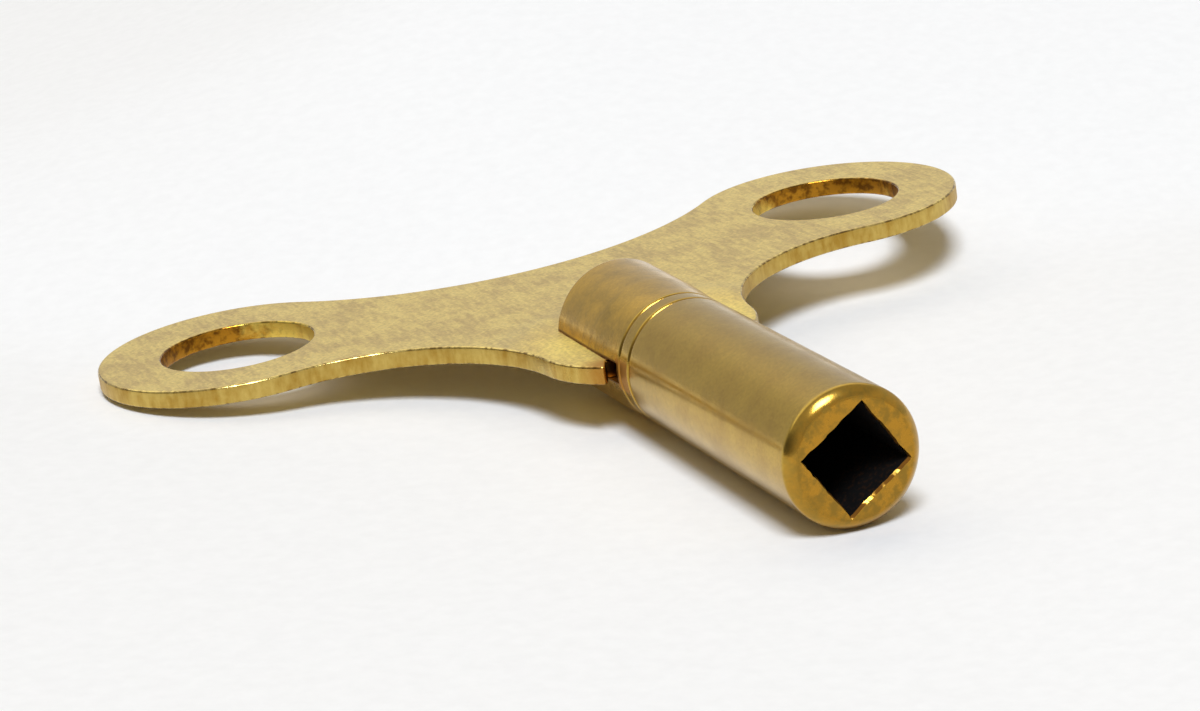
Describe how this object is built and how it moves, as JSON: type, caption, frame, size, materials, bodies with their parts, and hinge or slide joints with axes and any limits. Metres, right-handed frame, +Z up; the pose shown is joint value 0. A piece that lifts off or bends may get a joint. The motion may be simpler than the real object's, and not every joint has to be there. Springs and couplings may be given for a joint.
{
  "type": "clock winding key",
  "caption": "Winged brass clock winding key: a flat bow plate with round eyes, brazed into the slotted tail of a grooved barrel whose front end has a square socket.",
  "frame": {"origin": "on the table under the middle of the key's outline, with the key level and its barrel on the table", "axes": "+X along the wings towards the right wing, +Y along the barrel from the socket towards the bow, +Z up from the table"},
  "size_m": [0.0666, 0.0638, 0.0093],
  "materials": {
    "plate_brass": "rolled sheet, satin, lightly tarnished",
    "barrel_brass": "turned, satin, tarnished",
    "braze": "heat-stained braze"
  },
  "bodies": {
    "root": {"wing_plate": "plate_brass", "socket_barrel": "barrel_brass", "upper_braze_seam": "braze", "lower_braze_seam": "braze"}
  },
  "joints": []
}
